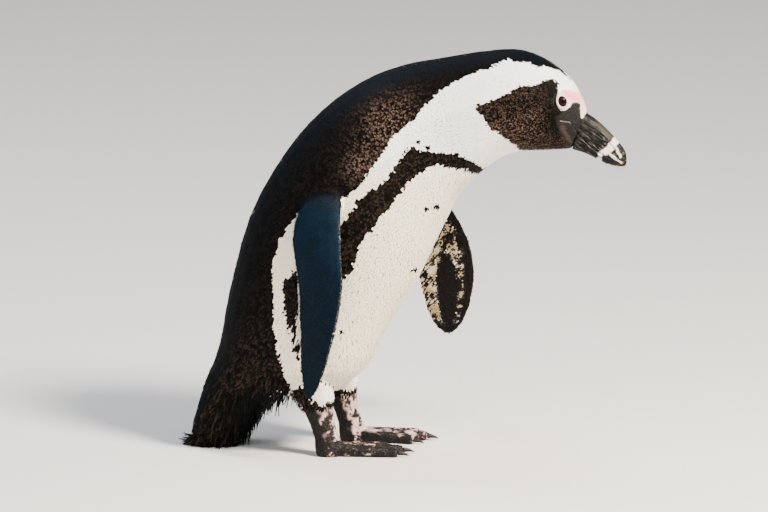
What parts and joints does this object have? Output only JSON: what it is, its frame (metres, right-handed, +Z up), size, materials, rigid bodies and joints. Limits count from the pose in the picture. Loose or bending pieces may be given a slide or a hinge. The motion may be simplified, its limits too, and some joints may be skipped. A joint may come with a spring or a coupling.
{
  "type": "african penguin",
  "caption": "Life-size still model of an African penguin, standing and leaning forward on webbed feet and tail, bill lowered, one flipper out.",
  "frame": {"origin": "middle of the footprint of the whole bird, on the floor that its soles and tail rest on", "axes": "+X the way the bird faces, +Y its left side, +Z up"},
  "size_m": [0.421, 0.2722, 0.3927],
  "materials": {
    "plumage": "short overlapping feathers, black on the back and white below, close and slightly sheeny",
    "skin": "bare scaly skin, pink blotched with black",
    "horn": "dull grey-black horn, worn pale near the bill tip",
    "eye": "wet and glossy, dark brown"
  },
  "bodies": {
    "root": {"head": "plumage", "neck": "plumage", "trunk": "plumage", "tail": "plumage", "flipper_right": "plumage", "flipper_left": "plumage", "bill_upper": "horn", "bill_lower": "horn", "eye_right": "eye", "eye_left": "eye", "leg_right": "skin", "leg_left": "skin", "foot_right": "skin", "foot_left": "skin", "claw_right_inner": "horn", "claw_right_middle": "horn", "claw_right_outer": "horn", "claw_right_hind": "horn", "claw_left_inner": "horn", "claw_left_middle": "horn", "claw_left_outer": "horn", "claw_left_hind": "horn"}
  },
  "joints": []
}
